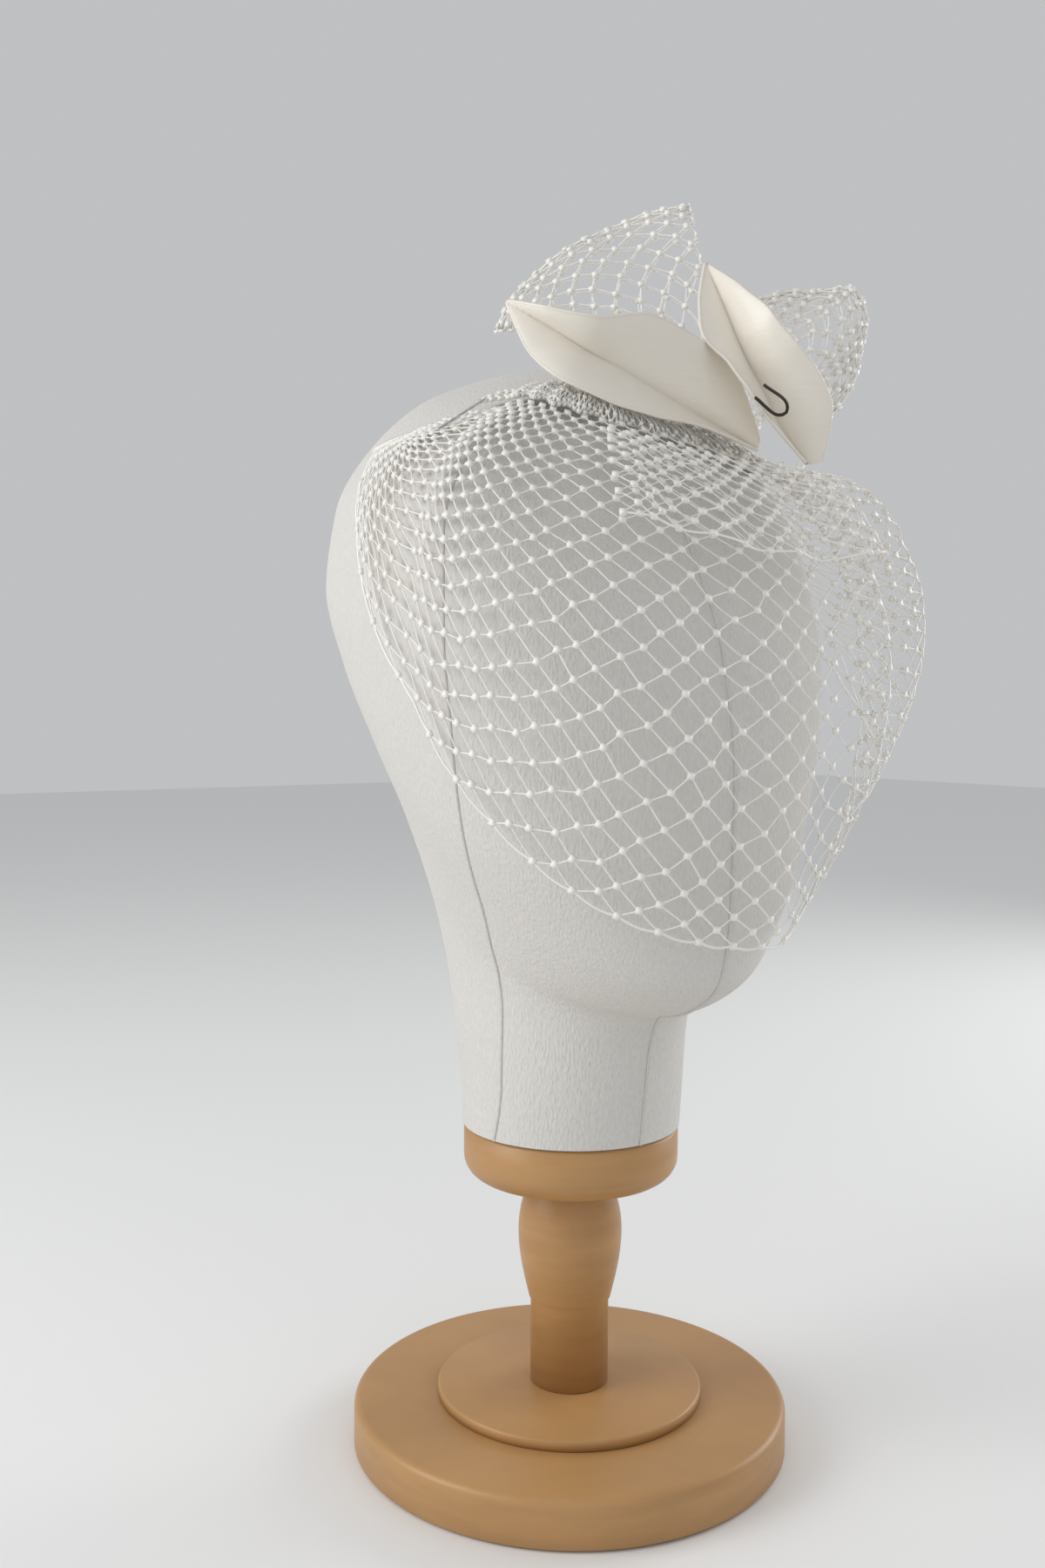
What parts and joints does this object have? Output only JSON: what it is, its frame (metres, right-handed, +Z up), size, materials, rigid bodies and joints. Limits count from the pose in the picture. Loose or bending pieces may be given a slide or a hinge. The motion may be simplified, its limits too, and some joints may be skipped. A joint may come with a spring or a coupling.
{
  "type": "birdcage veil on display head",
  "caption": "Ivory birdcage veil of diamond netting with a netting bow and silk leaves, on a linen display head with a turned wooden stand.",
  "frame": {"origin": "centre of the stand's flat underside, on the stand's axis", "axes": "+Z up along the stand's axis, the face looks along -Y, and the wearer's left is +X"},
  "size_m": [0.214, 0.209, 0.4616],
  "materials": {
    "beech": "satin varnish",
    "linen": "matte plain weave",
    "netting": "satin thread",
    "silk": "satin",
    "dark_wire": "dull",
    "steel": "bright"
  },
  "bodies": {
    "root": {"base_disc": "beech", "step_disc": "beech", "stem": "beech", "neck_collar": "beech", "head_form": "linen", "veil_net": "netting", "brow_tuck": "netting", "veil_heading": "netting", "bow_loop_left": "netting", "bow_loop_right": "netting", "leaf_side": "silk", "leaf_upright": "silk", "hair_grip": "dark_wire", "dress_pin": "steel"}
  },
  "joints": []
}
